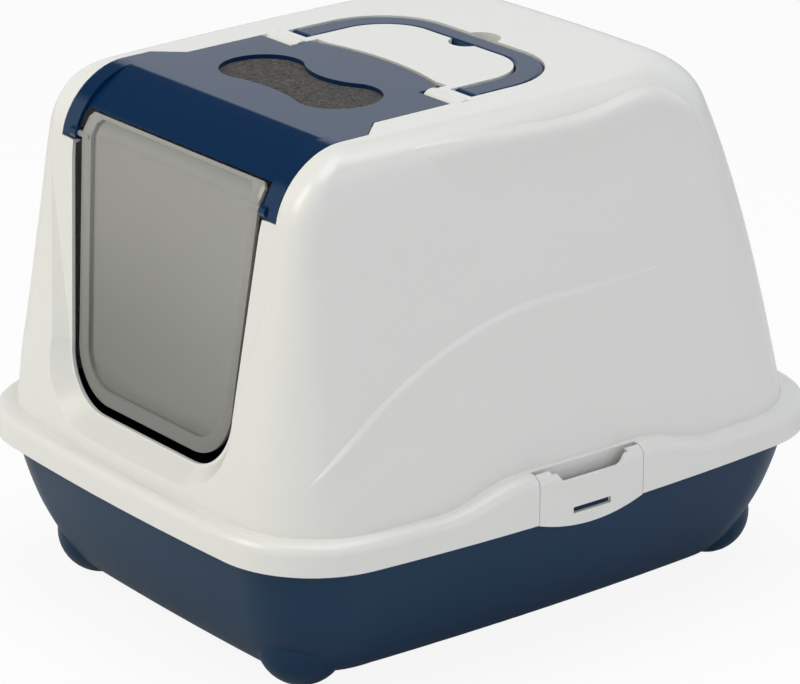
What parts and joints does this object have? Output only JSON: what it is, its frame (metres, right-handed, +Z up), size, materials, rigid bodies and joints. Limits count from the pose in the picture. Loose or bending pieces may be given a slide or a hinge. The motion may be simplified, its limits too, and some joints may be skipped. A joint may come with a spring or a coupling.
{
  "type": "hooded cat litter box",
  "caption": "Covered cat litter tray with a lift-off hood, a flip-up front lid, a swinging see-through door flap, a roof filter, a folding carrying handle and side latches.",
  "frame": {"origin": "on the floor under the middle of the box", "axes": "+Z up, -Y out of the doorway, +X to the right-hand latch as seen from the doorway side of the picture"},
  "size_m": [0.418, 0.4998, 0.3789],
  "materials": {
    "tray_navy": "satin navy moulded plastic",
    "hood_white": "semi-gloss warm off-white moulded plastic",
    "lid_navy": "gloss navy moulded plastic",
    "filter_grey": "speckled grey charcoal felt",
    "grille_navy": "navy moulded plastic",
    "flap_smoke": "smoke-tinted see-through plastic",
    "handle_navy": "semi-gloss navy moulded plastic",
    "latch_white": "semi-gloss warm off-white moulded plastic"
  },
  "bodies": {
    "tray": {"litter_tray": "tray_navy"},
    "hood": {"hood": "hood_white"},
    "lid": {"flip_lid": "lid_navy", "filter_pad": "filter_grey", "filter_grille": "grille_navy"},
    "flap": {"door_flap": "flap_smoke"},
    "handle": {"carry_handle": "handle_navy"},
    "right_latch": {"latch_right": "latch_white"},
    "left_latch": {"latch_left": "latch_white"}
  },
  "joints": [
    {"name": "hood_lift", "type": "slide", "parent": "tray", "child": "hood", "axis": [0, 0, 1], "range_m": [0, 0.3]},
    {"name": "lid_flip", "type": "hinge", "parent": "hood", "child": "lid", "pos_m": [0, -0.031, 0.36746], "axis": [-1, 0, 0], "range_deg": [0, 90]},
    {"name": "flap_swing", "type": "hinge", "parent": "lid", "child": "flap", "pos_m": [0, -0.19581, 0.33308], "axis": [1, 0, 0], "range_deg": [-75, 75]},
    {"name": "handle_fold", "type": "hinge", "parent": "hood", "child": "handle", "pos_m": [0, -0.014, 0.36976], "axis": [1, 0, 0], "range_deg": [0, 90]},
    {"name": "latch_right_swing", "type": "hinge", "parent": "hood", "child": "right_latch", "pos_m": [0.2046, 0, 0.136], "axis": [0, -1, 0], "range_deg": [0, 95]},
    {"name": "latch_left_swing", "type": "hinge", "parent": "hood", "child": "left_latch", "pos_m": [-0.2046, 0, 0.136], "axis": [0, 1, 0], "range_deg": [0, 95]}
  ]
}
